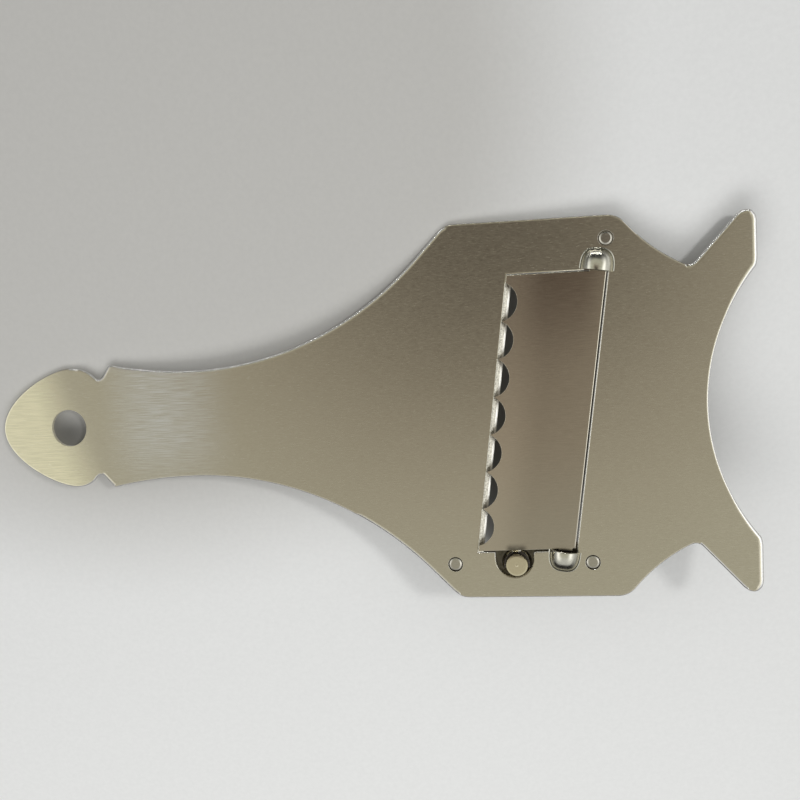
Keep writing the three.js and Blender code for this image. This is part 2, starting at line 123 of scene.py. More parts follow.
def cleanMesh(mesh, weld=1e-6):
    bm = bmesh.new()
    bm.from_mesh(mesh)
    bmesh.ops.remove_doubles(bm, verts=bm.verts, dist=weld)
    bmesh.ops.recalc_face_normals(bm, faces=bm.faces)
    bm.to_mesh(mesh)
    bm.free()
    return mesh


def meshOf(obj):
    # the evaluated object as a plain mesh, with the object itself taken away
    graph = bpy.context.evaluated_depsgraph_get()
    mesh = bpy.data.meshes.new_from_object(obj.evaluated_get(graph), depsgraph=graph)
    bpy.data.objects.remove(obj, do_unlink=True)
    return mesh


def piece(name, mesh, material, angle=32, level=0.9995):
    # rounded faces shade smoothly, level sheet faces stay flat
    if material:
        mesh.materials.append(material)
    mesh.set_sharp_from_angle(angle=radians(angle))
    for poly in mesh.polygons:
        poly.use_smooth = abs(poly.normal.z) < level
    return makeObject(name, mesh)


def loftMesh(name, rings, capped=True, unit=mm):
    bm = bmesh.new()
    rows = [[bm.verts.new([v * unit for v in p]) for p in ring] for ring in rings]
    count = len(rows[0])
    for a, b in zip(rows, rows[1:]):
        for i in range(count):
            j = (i + 1) % count
            bm.faces.new((a[i], a[j], b[j], b[i]))
    if capped:
        bm.faces.new(rows[0][::-1])
        bm.faces.new(rows[-1])
    return meshFrom(bm, name)


def revolve(name, profile, centre, segments, capped=True):
    # a profile in millimetres turned round an upright line, with its ends drawn in to the axis
    axisRadius, weld = 1e-6, 5e-6
    turns = spaced(0, 2 * pi, segments)[:-1]
    rings = []
    for radius, z in profile:
        r = max(radius * mm, axisRadius)
        rings.append([(centre.x + r * cos(a), centre.y + r * sin(a), z * mm) for a in turns])
    return cleanMesh(loftMesh(name, rings, capped, 1), weld)


def joinMeshes(name, meshes):
    bm = bmesh.new()
    for mesh in meshes:
        bm.from_mesh(mesh)
    return meshFrom(bm, name)


def planarUv(mesh, scale=10.0):
    layer = mesh.uv_layers.new(name="grainMap")
    for loop in mesh.loops:
        co = mesh.vertices[loop.vertex_index].co
        layer.data[loop.index].uv = (co.x * scale, co.y * scale)
    return mesh


def markHighlights(mesh, isEdge):
    # which faces get a painted highlight, for the material to brighten
    layer = mesh.attributes.new("edge", "FLOAT", "CORNER")
    for poly in mesh.polygons:
        value = 1.0 if isEdge(poly) else 0.0
        for index in poly.loop_indices:
            layer.data[index].value = value
    return mesh


# node helpers
def feed(tree, node, inputs):
    # a socket is linked, and anything else is set as a value
    for key, value in inputs.items():
        if isinstance(value, bpy.types.NodeSocket):
            tree.links.new(value, node.inputs[key])
        else:
            node.inputs[key].default_value = value
    return node


def addNode(tree, kind, output, inputs={}, **settings):
    # gives the output that is used
    node = tree.nodes.new(tree.bl_idname[:-len("Tree")] + kind)
    for key, value in settings.items():
        setattr(node, key, value)
    return feed(tree, node, inputs).outputs[output]


def maths(tree, operation, *values):
    return addNode(tree, "Math", 0, dict(enumerate(values)), operation=operation)


def vectors(tree, operation, *values):
    output = "Value" if operation in ("DOT_PRODUCT", "DISTANCE", "LENGTH") else "Vector"
    return addNode(tree, "VectorMath", output, dict(enumerate(values)), operation=operation)


def mixed(tree, factor, a, b, blend="MIX"):
    inputs = {"Factor": factor, "A": a, "B": b}
    return addNode(tree, "Mix", "Result", inputs, data_type="RGBA", blend_type=blend)


def ramp(tree, source, low=0.0, high=1.0, start=0.3, end=0.7, kind="LINEAR"):
    inputs = {"Value": source, "From Min": start, "From Max": end, "To Min": low, "To Max": high}
    return addNode(tree, "MapRange", "Result", inputs, interpolation_type=kind)


def noise(tree, place, scale=1.0, detail=2.0, roughness=0.5):
    inputs = {"Vector": place, "Scale": scale, "Detail": detail, "Roughness": roughness}
    return addNode(tree, "TexNoise", "Fac", inputs)


def coordsOf(tree, kind="Object"):
    return addNode(tree, "TexCoord", kind)


def nodeGroup(name, kind, inputs, outputs):
    # both are name: type of socket, and every input is fed where the group is used
    tree = bpy.data.node_groups.new(name, kind + "NodeTree")
    for direction, sockets in (("INPUT", inputs), ("OUTPUT", outputs)):
        for label, socket in sockets.items():
            tree.interface.new_socket(name=label, in_out=direction, socket_type="NodeSocket" + socket)
    return tree, tree.nodes.new("NodeGroupInput").outputs, tree.nodes.new("NodeGroupOutput").inputs


# shader groups shared by the steels
def makeGrainGroup(widths=(1.0, 0.4), detail=3.0, roughness=0.6):
    # fine scratches that run along X, in two widths
    sizes = dict.fromkeys(("Along", "Across", "Coarse"), "Float")
    tree, given, result = nodeGroup("steelGrain", "Shader", sizes, {"Grain": "Float"})
    place = coordsOf(tree)
    layers = []
    for share in widths:
        length = maths(tree, "MULTIPLY", given["Along"], share)
        width = maths(tree, "MULTIPLY", given["Across"], share)
        stretch = addNode(tree, "CombineXYZ", 0, {0: length, 1: width, 2: width})
        layers.append(noise(tree, vectors(tree, "MULTIPLY", place, stretch), 1.0, detail, roughness))
    mix = addNode(tree, "Mix", "Result", {"Factor": given["Coarse"], "A": layers[0], "B": layers[1]})
    tree.links.new(mix, result["Grain"])
    return tree


def makeStainGroup(detail=4.0, roughness=0.55):
    # slow, cloudy change of tone from handling
    tree, given, result = nodeGroup("handledTone", "Shader", {"Size": "Float"}, {"Tone": "Float"})
    tree.links.new(noise(tree, coordsOf(tree), given["Size"], detail, roughness), result["Tone"])
    return tree


grainGroup = makeGrainGroup()
stainGroup = makeStainGroup()


def wornBand(tree, colour, worn, contrast=(0.35, 0.65)):
    # a stretch of the steel with a tone of painted light or shade and scratches of its own; each edge runs square to
    # a direction
    place = coordsOf(tree)
    scratches = noise(tree, vectors(tree, "MULTIPLY", place, (*worn["scratches"], 1)))
    mask = ramp(tree, scratches, *worn["cover"], *contrast)
    for square, start, end in worn["edges"]:
        level = vectors(tree, "DOT_PRODUCT", place, (*square, 0)[:3])
        edge = ramp(tree, level, 0.0, 1.0, start, end, "SMOOTHSTEP")
        mask = maths(tree, "MULTIPLY", mask, edge)
    return mixed(tree, mask, colour, (*worn["tone"], 1))


def newMaterial(name):
    mat = bpy.data.materials.new(name)
    mat.use_nodes = True
    return mat, mat.node_tree, mat.node_tree.nodes["Principled BSDF"]


def steelMaterial(name, base, **changes):
    look = dict(base, **changes)
    mat, tree, shader = newMaterial(name)
    size = {"Along": look["along"], "Across": look["across"], "Coarse": look["coarse"]}
    grain = addNode(tree, "Group", "Grain", size, node_tree=grainGroup)
    stain = addNode(tree, "Group", "Tone", {"Size": look["stainSize"]}, node_tree=stainGroup)
    steel = mixed(tree, ramp(tree, grain), (*look["dark"], 1), (*look["light"], 1))
    handled = mixed(tree, ramp(tree, stain), (*look["stainTone"], 1), (1, 1, 1, 1))
    colour = mixed(tree, look["stain"], steel, handled, "MULTIPLY")
    for worn in look.get("worn", ()):
        colour = wornBand(tree, colour, worn)
    # painted highlight: the marked faces are painted paler, standing in for the light their rounding catches
    if "edgeTone" in look:
        edge = addNode(tree, "Attribute", "Fac", attribute_name="edge")
        colour = mixed(tree, maths(tree, "MULTIPLY", edge, look["edgeHighlightShare"]), colour, (*look["edgeTone"], 1))
    relief = {"Strength": look["bump"], "Distance": look["bumpDepth"], "Height": grain}
    feed(tree, shader, {
        "Base Color": colour, "Metallic": 1.0, "Roughness": ramp(tree, grain, *look["roughness"]),
        "Normal": addNode(tree, "Bump", "Normal", relief), "Anisotropic": look["anisotropy"]})
    if look["anisotropy"]:
        feed(tree, shader, {
            "Tangent": addNode(tree, "Tangent", "Tangent", direction_type="UV_MAP", uv_map="grainMap")})
    return mat


plateLook = {
    "dark": (0.465, 0.433, 0.352), "light": (0.525, 0.496, 0.405), "roughness": (0.20, 0.28), "anisotropy": 0.5,
    "along": 900.0, "across": 7200.0, "coarse": 0.15, "bump": 0.008, "bumpDepth": 0.00002,
    "stain": 0.10, "stainSize": 30.0, "stainTone": (0.72, 0.70, 0.66), "edgeHighlightShare": 0.9,
}
plainLook = dict(plateLook, anisotropy=0.0)
# the strips under the plate: rougher rolled steel, and painted darker than the plate as shade under it
backLook = dict(plainLook, dark=(0.34, 0.31, 0.25), light=(0.43, 0.395, 0.32), roughness=(0.32, 0.46),
                along=220.0, across=1800.0, bump=0.3)
# painted highlights on the flat handle: a paler scratched band where it catches the light, and a bright yellowish
# tip standing in for the reflection it mirrors
grip = {"edges": (((1, 0), -0.067, -0.052), ((1, 0), -0.029, -0.047), ((0, 1), -0.020, -0.001)),
        "scratches": (170, 5200), "cover": (0.22, 0.80), "tone": (0.667, 0.687, 0.707)}
tip = {"edges": (((0.944, 0.33), -0.0635, -0.0765),),
       "scratches": (200, 3000), "cover": (0.68, 0.86), "tone": (0.90, 0.86, 0.655)}
# painted shade on the bracket's top face, which shows dark through the notch
notchShade = {"edges": (((0, 0, 1), plateFoot - 0.0003, plateFoot - 0.0001),),
         "scratches": (900, 900), "cover": (0.75, 0.92), "tone": (0.05, 0.045, 0.03)}
plateSteel = steelMaterial("brushedPlate", plateLook, worn=(grip, tip), edgeTone=(0.96, 0.96, 0.94))
domeSteel = steelMaterial("pressedHousing", plainLook, dark=(0.48, 0.47, 0.40), light=(0.56, 0.55, 0.47),
                          roughness=(0.17, 0.23), bump=0.03, across=1400.0)
lipSteel = steelMaterial("groundLip", plainLook, dark=(0.15, 0.14, 0.115), light=(0.86, 0.83, 0.72),
                         roughness=(0.30, 0.45), along=3000.0, across=3000.0, bump=0.9, edgeTone=(0.95, 0.94, 0.88))
# painted shade: the fork arms are painted near black, as they lie in the shadow under the screw's disc
forkSteel = steelMaterial("shadedFork", plainLook, dark=(0.05, 0.046, 0.042), light=(0.11, 0.10, 0.09),
                          roughness=(0.25, 0.4), across=2600.0)
backSteel = steelMaterial("rolledStrip", backLook)
bracketSteel = steelMaterial("shadedStrip", backLook, worn=(notchShade,))
rivetSteel = steelMaterial("flushRivet", plainLook, dark=(0.392, 0.374, 0.322), light=(0.45, 0.434, 0.38))
nickelSteel = steelMaterial("turnedNickel", plainLook, dark=(0.588, 0.535, 0.39), light=(0.617, 0.565, 0.414),
                            roughness=(0.22, 0.28), along=1500.0, across=1500.0, bump=0.03)
springSteel = steelMaterial("drawnWire", backLook, dark=(0.40, 0.40, 0.39), light=(0.58, 0.58, 0.56),
                            roughness=(0.22, 0.34))
print("materials made")

# plate, as the stamped sheet with its window, notch, holes, pressed housings and ground lip
plate = {
    "leafLength": 18.4, "leafWidth": 29.4, "tipFull": 0.52, "sideFull": 0.30, "leafFall": 0.55,
    "thumbInset": (24.2, 25.2), "thumbFlat": (0.5, 0.9), "thumbWidth": 23.2, "thumbRound": 0.8,
    "shoulderInset": (27.9, 28.8), "shoulderWidth": 30.1, "shoulderRound": 0.4, "neckWidth": 25.8,
    "bodyLength": 69.43, "flankRadius": 78.0, "flankAngle": radians(46), "cornerRound": 5.5,
    "hangInset": 17.2, "hangDiameter": 9.0, "rivetBore": 1.72,
    "arcRadius": 48.3, "arcDepth": 11.3, "heelReach": 0.8, "heelRound": 2.8,
    "bayInset": 30.3, "bayDrop": 4.1, "bayRadius": 39.0, "baySteep": radians(48), "bayShallow": radians(28),
    "rootInset": 14.45, "rootRound": 1.9, "prongReach": 9.95, "prongSlope": radians(47.5), "prongRound": 1.65,
    "backInset": 37.1, "windowWidth": 22.9, "marginTop": 12.2, "marginBottom": 10.9,
    "notchWidth": 8.8, "notchDepth": 6.0, "notchOffset": 0.5, "notchTurn": 0.9,
    "lipBevel": 1.18, "lipDrop": 0.62, "lipBright": 0.36, "lipOver": 0.3, "lipStart": 0.03, "lipSink": 0.1,
    "housingWidth": (6.9, 7.3), "housingDepth": (4.7, 4.8), "housingHeight": 2.5, "housingWall": 0.8,
    "housingFull": 0.70, "housingEase": 1.4, "pocketWidth": 5.6, "pocketDepth": 3.6,
    "housingFoot": ((1.0, -0.03, 0.34), (1.0, 0.05, 0.13), (1.0, 0.16, 0.03)),
    "mouthBead": ((0.07, 0.06), (0.13, 0.17), (0.15, 0.40)),
}
# how far the plate's edges are broken or rolled over, and which of them get a painted highlight
rim = {
    "plain": 0.35, "rolled": 1.2, "foot": 0.2, "hole": 0.07, "lip": 0.06, "lipEnds": 0.3, "deep": (0.62, 0.1, 0.66),
    "frontReach": 0.6, "frontGain": 1.4, "outerFrom": 20.0, "outerOver": 12.0, "inner": 0.22, "far": 0.55,
    "sideCrisp": 0.4, "tilt": (-0.3, 0.93), "holeClear": 0.5, "bayFrom": 20.0,
}
windowTop = sideY - plate["marginTop"]
windowFoot = -sideY + plate["marginBottom"]


def backAt(y):
    return frontX - plate["backInset"] + y * tan(skew)


def lipAt(y):
    return backAt(y) - plate["windowWidth"]


def pivotAt(y):
    return pivotPoint.x / mm + y * tan(skew)


def skewed(y, u, v):
    # u across and v along the pivot line, from its point at y
    return (pivotAt(y) + u * cos(skew) + v * sin(skew), y - u * sin(skew) + v * cos(skew))


def halfOutline(side):
    # from the tip to the middle of the front arc; the two thumb notches are cut slightly differently
    p = plate
    leafX, leafY = tipX + p["leafLength"], p["leafWidth"] / 2
    thumbX, thumbY, t = tipX + p["thumbInset"][side], p["thumbWidth"] / 2, p["thumbRound"]
    flatX = thumbX + p["thumbFlat"][side]
    shoulderX, shoulderY, h = tipX + p["shoulderInset"][side], p["shoulderWidth"] / 2, p["shoulderRound"]
    neckY = p["neckWidth"] / 2
    pts = [(tipX, 0)]

    def curve(n, *points):
        pts.extend(bezier(n, pts[-1], *points))

    curve(40, (tipX, leafY * p["tipFull"]), (leafX - p["leafLength"] * p["sideFull"], leafY), (leafX, leafY))
    curve(20, (leafX + (thumbX - leafX) * p["leafFall"], leafY), (thumbX - t, thumbY + t))
    curve(10, (thumbX, thumbY), ((thumbX + flatX) / 2, thumbY + t / 4))
    curve(10, (flatX, thumbY), (flatX + t, thumbY + t))
    pts.append((shoulderX - h, shoulderY - h))
    curve(6, (shoulderX, shoulderY), (shoulderX + h, shoulderY))
    # concave flank and the straight run to the rear corner
    r, a = p["flankRadius"], p["flankAngle"]
    rearX = frontX - p["bodyLength"]
    endX = rearX - (sideY - neckY - r * (1 - cos(a))) / tan(a)
    neckX = endX - r * sin(a)
    curve(24, ((shoulderX + neckX) / 2, neckY), (neckX, neckY))
    pts += arc(neckX, neckY + r, r, -pi / 2, -pi / 2 + a, 48)[1:]
    trim = p["cornerRound"] * tan(a / 2)
    pts.append(along(rearX, sideY, -trim, a))
    curve(12, (rearX, sideY), (rearX + trim, sideY))
    # bay beside the prong
    bayX, steep, shallow = frontX - p["bayInset"], p["baySteep"], p["bayShallow"]
    trim = p["cornerRound"] * tan(steep / 2)
    pts.append((bayX - trim, sideY))
    curve(12, (bayX, sideY), along(bayX, sideY, trim, -steep))
    start = along(bayX, sideY, p["bayDrop"], -steep)
    centre = along(*start, p["bayRadius"], pi / 2 - steep)
    pts += arc(*centre, p["bayRadius"], -pi / 2 - steep, -pi / 2 - shallow, 24)
    rootX = frontX - p["rootInset"]
    rootY = pts[-1][1] - (rootX - pts[-1][0]) * tan(shallow)
    pts.append(along(rootX, rootY, -p["rootRound"], -shallow))
    curve(12, (rootX, rootY), along(rootX, rootY, p["rootRound"], p["prongSlope"]))
    # prong
    r = p["prongRound"]
    endX, endY = rootX + p["prongReach"], rootY + p["prongReach"] * tan(p["prongSlope"])
    pts.append((endX, endY))
    curve(24, (endX + r, endY + r), (frontX, endY + r), (frontX, endY - r))
    arcX = frontX - p["arcDepth"] + p["arcRadius"]
    half = acos((p["arcRadius"] - p["arcDepth"] + p["heelReach"]) / p["arcRadius"])
    heelX, heelY = along(arcX, 0, p["arcRadius"], pi - half)
    pts += [(frontX, y) for y in spaced(pts[-1][1], heelY + p["heelRound"], 8)[1:]]
    curve(12, (frontX, heelY + p["heelReach"]), (heelX, heelY))
    pts += arc(arcX, 0, p["arcRadius"], pi - half, pi, 48)[1:]
    return pts


def pocketArc(y, side, steps=32):
    # plan of the hollow under a housing, with its mouth on the window's end line
    half, depth = plate["pocketWidth"] / 2, side * plate["pocketDepth"]
    pts = [skewed(y, half * cos(t), depth * sin(t)) for t in spaced(0, pi, steps)]
    return [(pts[0][0], y)] + pts[1:-1] + [(pts[-1][0], y)]


def windowOutline():
    radius, turn = plate["notchWidth"] / 2, plate["notchTurn"]
    notchX = screwX - plate["notchOffset"]
    roundY = windowFoot - plate["notchDepth"] + radius
    pts = [(backAt(windowTop), windowTop)] + pocketArc(windowTop, 1)
    pts += [(lipAt(windowTop), windowTop), (lipAt(windowFoot), windowFoot), (notchX - radius, windowFoot)]
    pts += arc(notchX, roundY, radius, pi, 2 * pi, 40)
    pts.append((notchX + radius, windowFoot - turn))
    pts += bezier(8, pts[-1], (notchX + radius, windowFoot), (notchX + radius + turn, windowFoot))
    return pts + pocketArc(windowFoot, -1)[::-1] + [(backAt(windowFoot), windowFoot)]


def flatCurve(name, outlines, fill):
    curve = bpy.data.curves.new(name, "CURVE")
    curve.dimensions = "2D"
    curve.fill_mode = fill
    for pts in outlines:
        spline = curve.splines.new("POLY")
        spline.points.add(len(pts) - 1)
        for point, (x, y) in zip(spline.points, pts):
            point.co = (x * mm, y * mm, 0, 1)
        spline.use_cyclic_u = True
    return curve


def sheetMesh(name, outlines, foot, top, edge):
    # an even sheet with both its edges rounded
    curve = flatCurve(name, outlines, "BOTH")
    curve.extrude = (top - foot) / 2 - edge
    curve.bevel_depth = edge
    curve.bevel_resolution = 4
    curve.offset = -edge
    mesh = meshOf(makeObject(name, curve))
    mesh.transform(Matrix.Translation((0, 0, (foot + top) / 2)))
    return cleanMesh(mesh)


def capMesh(loops, z):
    mesh = meshOf(makeObject("cap", flatCurve("cap", loops, "FRONT")))
    mesh.transform(Matrix.Translation((0, 0, z * mm)))
    return mesh


def inwardNormals(pts, mitreLeast=0.6):
    # mitred direction into the sheet at each point of a loop that turns left round it
    out = []
    for i in range(len(pts)):
        a, b, c = Vector(pts[i - 1]), Vector(pts[i]), Vector(pts[(i + 1) % len(pts)])
        n1, n2 = (b - a).orthogonal().normalized(), (c - b).orthogonal().normalized()
        n = (n1 + n2).normalized()
        out.append(n / max(mitreLeast, n.dot(n1)))
    return out


def tidyLoop(pts, leftward, closest=0.004):
    clean = [p for i, p in enumerate(pts) if dist(p, pts[i - 1]) > closest]
    area = sum(a[0] * b[1] - b[0] * a[1] for a, b in zip(clean, clean[1:] + clean[:1])) / 2
    return clean if (area > 0) == leftward else clean[::-1]


def roundedSheet(name, outline, holes, foot, top, roundAt):
    # a sheet whose upper edge is rounded as far in as roundAt says at each point
    loops = [(tidyLoop(outline, True), roundAt)] + [(tidyLoop(hole, False), rule) for hole, rule in holes]
    steps, weld = 6, 1.5e-6
    slope, base, most = rim["deep"]
    turns = spaced(0, pi / 2, steps)
    tops, feet, parts = [], [], []

    def ringOf(edge, inset, z):
        return [(p[0] + n.x * inset(w), p[1] + n.y * inset(w), z(w)) for p, n, w in edge]

    for pts, rule in loops:
        edge = [(p, n, rule(p, n)) for p, n in zip(pts, inwardNormals(pts))]
        rings = []
        for a in turns:
            rings.append(ringOf(edge, lambda w: rim["foot"] * (1 - sin(a)),
                                lambda w: foot + rim["foot"] * (1 - cos(a))))
        for a in turns:
            rings.append(ringOf(edge, lambda w: w * (1 - cos(a)),
                                lambda w: top - min(slope * w + base, most * (top - foot)) * (1 - sin(a))))
        feet.append([(x, y) for x, y, z in rings[0]])
        tops.append([(x, y) for x, y, z in rings[-1]])
        parts.append(loftMesh("edge", rings, False))
    parts += [capMesh(tops, top), capMesh(feet, foot)]
    return cleanMesh(joinMeshes(name, parts), weld)


def plateRound(point, normal):
    # the front edge and the prongs' outer sides are rolled furthest, the far side and the leaf stay crisp
    x, y = point
    facing = max(0.0, -normal.x) if x > frontX - plate["arcDepth"] - rim["frontReach"] else 0.0
    outer = min(1.0, max(0.0, (abs(y) - rim["outerFrom"]) / rim["outerOver"]))
    share = min(1.0, facing * rim["frontGain"]) * (rim["inner"] + (1 - rim["inner"]) * outer)
    if x < tipX + plate["leafLength"] or y > sideY - rim["sideCrisp"] and normal.y < -0.9:
        share = 0.0
    elif normal.y < -0.6 and normal.x > -0.2 or normal.x > 0.5:
        share = max(share, rim["far"])
    return rim["plain"] + (rim["rolled"] - rim["plain"]) * share


def windowRound(point, normal):
    # crisp where the lip is ground, soft elsewhere
    x, y = point
    onLip = abs(x - lipAt(y)) < 0.05 and windowFoot + rim["lipEnds"] < y < windowTop - rim["lipEnds"]
    return rim["lip"] if onLip else rim["plain"]


def holeRound(point, normal):
    return rim["hole"]


def housingMesh(y, side):
    # half-barrel shell with a rounded end, a rolled foot and a beaded mouth
    p = plate
    wall, height = p["housingWall"], p["housingHeight"]
    upper = 1 if side > 0 else 0
    halfW, depth = p["housingWidth"][upper] / 2, p["housingDepth"][upper]
    steps, rows, weld = 48, 16, 2e-6
    bm = bmesh.new()

    def grid(b, a, c, foot):
        levels = list(foot)
        curve = (b * b + c * c) / (2 * c)
        for j in range(rows + 1):
            share = 1 - (j / rows) ** p["housingEase"]
            levels.append((share, sqrt(curve * curve - (share * b) ** 2) - curve + c, 0.0))
        rings = []
        for scale, z, flare in levels:
            ring = []
            for t in spaced(0, pi, steps):
                u = copysign(abs(cos(t)) ** p["housingFull"], cos(t))
                v = max(0.0, sin(t)) ** p["housingFull"]
                px, py = skewed(y, (b * scale + flare) * u, side * (a * scale + flare) * v)
                ring.append(bm.verts.new((px * mm, py * mm, plateTop + z * mm)))
            rings.append(ring)
        return rings

    outer = grid(halfW, depth, height, p["housingFoot"])
    inner = grid(halfW - wall, depth - wall, height - wall, [(1.0, p["housingFoot"][0][1], 0.0)])
    for rings, flip in ((outer, False), (inner, True)):
        for lower, upper in zip(rings, rings[1:]):
            for i in range(steps):
                quad = [lower[i], lower[i + 1], upper[i + 1], upper[i]]
                bm.faces.new(quad[::-1] if flip else quad)
    for end in (0, steps):
        outerLine = [ring[end] for ring in outer[len(outer) - rows - 1:]]
        innerLine = [ring[end] for ring in inner[len(inner) - rows - 1:]]
        lines = [outerLine]
        for out, down in p["mouthBead"]:
            line = []
            for vert in outerLine:
                drop = min(down * mm, max(0.0, vert.co.z - plateTop))
                line.append(bm.verts.new(vert.co + Vector((-side * out * sin(skew) * mm,
                                                           -side * out * cos(skew) * mm, -drop))))
            lines.append(line)
        for upper, lower in zip(lines, lines[1:] + [innerLine]):
            for a, b, c, d in zip(upper, upper[1:], lower[1:], lower):
                bm.faces.new((a, b, c, d))
    return cleanMesh(meshFrom(bm, "housing"), weld)


def lipMesh(steps=40):
    # the sloping ground face between the plate's edge and the blade
    p = plate
    rings = []
    for y in spaced(windowFoot, windowTop, steps):
        x0, wide = lipAt(y), p["lipBevel"] * across
        top, foot = plateTop / mm, plateFoot / mm
        ring = [(x0 - p["lipOver"], top - p["lipSink"])]
        for share in (0, 1 - p["lipBright"], 1):
            ring.append((x0 + wide * share, top - p["lipStart"] - (p["lipDrop"] - p["lipStart"]) * share))
        ring += [(x0 + wide, foot), (x0 - p["lipOver"], foot)]
        rings.append([(x, y, z) for x, z in ring])
    # painted highlight on the share of the lip's slope next to the blade
    bright = (1 - p["lipBright"]) * p["lipBevel"] * across
    return markHighlights(cleanMesh(loftMesh("lip", rings), 1e-7), lambda poly: poly.normal.z > 0.5
                     and poly.center.x / mm > lipAt(poly.center.y / mm) + bright)


def highlightedRim(poly):
    # the broken edge that gets a painted highlight, apart from the leaf's, the hanging hole's, the far side's and
    # the far bay's
    centre, normal = poly.center / mm, poly.normal
    fromHole = (centre.xy - Vector((tipX + plate["hangInset"], 0))).length
    return (rim["tilt"][0] < normal.z < rim["tilt"][1] and centre.x > tipX + plate["leafLength"]
            and fromHole > plate["hangDiameter"] / 2 + rim["holeClear"]
            and centre.y < sideY - rim["sideCrisp"] - rim["plain"]
            and not (centre.x > rim["bayFrom"] and normal.y > normal.x > 0))


def buildPlate():
    lower, upper = halfOutline(0), halfOutline(1)
    outline = upper + [(x, -y) for x, y in reversed(lower[1:-1])]
    hang = circle(tipX + plate["hangInset"], 0, plate["hangDiameter"] / 2, 72)
    holes = [(hang, holeRound), (windowOutline(), windowRound)]
    for name in rivetNames:
        x, y = middleOf(name)
        holes.append((circle(x / mm, y / mm, plate["rivetBore"], 40), holeRound))
    mesh = roundedSheet("slicer_plate", outline, holes, plateFoot / mm, plateTop / mm, plateRound)
    obj = piece("slicer_plate", markHighlights(planarUv(mesh), highlightedRim), plateSteel)
    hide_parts("body_plate")
    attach(obj, "frame")
    domes = joinMeshes("pressed_housings", [housingMesh(windowTop, 1), housingMesh(windowFoot, -1)])
    obj = piece("pressed_housings", domes, domeSteel, 30)
    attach(obj, "frame")
    lip = piece("window_lip", lipMesh(), lipSteel, 20)
    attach(lip, "frame")


buildPlate()
print("plate made")

# blade, drawn flat and then tilted to its rest setting
blade = {
    "gap": 0.4, "gapTop": 0.18, "gapBottom": 0.55, "thickness": 0.8,
    "scallops": 7, "pitch": 8.8, "radius": 4.7, "land": 0.12, "grind": 1.8,
    "tabWidth": 3.2, "tabReach": 3.2, "restTilt": radians(3), "edgeBreak": 0.11, "backRound": 0.32,
    "neckDiameter": 3.2, "forkClearance": 0.3, "forkArm": 1.1, "forkDrop": 0.5, "forkNeck": 2.0, "forkLegs": 1.0,
    "forkRound": 0.12, "weld": 1e-7, "level": 0.997,
}


def tabCorners(y, side, inset):
    # the tab's roots lie on the blade's end line
    half, reach, root = blade["tabWidth"] / 2 - inset, blade["tabReach"] - inset, -blade["gap"]
    corners = ((half, root), (half, reach), (-half, reach), (-half, root))
    out = [skewed(y, u, side * v) for u, v in corners]
    end = y - side * (blade["gapTop" if side > 0 else "gapBottom"] + inset)
    return [(out[0][0], end), out[1], out[2], (out[3][0], end)]


def bladeRing(setback, inset, z, backInset=0.0, steps=18):
    top, bottom = windowTop - blade["gapTop"] - inset, windowFoot + blade["gapBottom"] + inset
    middle, half, radius = (windowTop + windowFoot) / 2, blade["pitch"] / 2, blade["radius"]
    centre, sweep = sqrt(radius ** 2 - half ** 2), asin(half / radius)
    edge = lambda y: lipAt(y) + setback * across
    back = lambda y: backAt(y) - (blade["gap"] + max(inset, backInset)) * across
    pts = [(back(bottom), bottom), (back(top), top)] + tabCorners(windowTop, 1, inset) + [(edge(top), top)]
    for k in range(blade["scallops"]):
        mid = ((blade["scallops"] - 1) / 2 - k) * blade["pitch"]
        for a in spaced(sweep, -sweep, steps)[min(k, 1):]:
            t, d = mid + radius * sin(a), centre - radius * cos(a)
            pts.append((edge(middle) + t * sin(skew) - d * cos(skew),
                        middle + t * cos(skew) + d * sin(skew)))
    pts += [(edge(bottom), bottom)] + tabCorners(windowFoot, -1, inset)[::-1]
    return [(x, y, z) for x, y in pts]


def forkMesh():
    # two arms round the screw's neck, on a short neck stepped down from the blade
    b = blade
    lever = (pivotAt(screwY) - screwX) * cos(skew)
    flat = (lever - b["forkDrop"] * sin(b["restTilt"])) / cos(b["restTilt"])
    cx = pivotAt(screwY) - flat / cos(skew)
    inner = b["neckDiameter"] / 2 + b["forkClearance"]
    outer = inner + b["forkArm"]
    half, drop, legs = b["thickness"] / 2, -b["forkDrop"], screwY - b["forkLegs"]
    pts = [(cx - outer, legs), (cx - inner, legs)] + arc(cx, screwY, inner, pi, 0, 28)
    pts += [(cx + inner, legs), (cx + outer, legs)] + arc(cx, screwY, outer, 0, pi, 36)
    arms = sheetMesh("forkArms", [pts], (drop - half) * mm, (drop + half) * mm, b["forkRound"] * mm)
    end = windowFoot + b["gapBottom"]
    join = screwY + inner + b["forkArm"] * 0.6
    w, h = b["forkNeck"] / 2, half - 0.02
    section = ((-w, -h), (w, -h), (w, h - 0.35), (w - 0.6, h), (-w + 0.12, h), (-w, h - 0.1))
    path = ((end + 1.4, 0.0), (end, 0.0), (end - 0.35, -0.1), (join + 0.35, drop + 0.1), (join, drop),
            (join - 0.4, drop))
    rings = [[(cx + u, y, z + v) for u, v in section] for y, z in path]
    return arms, cleanMesh(loftMesh("forkNeck", rings), b["weld"])


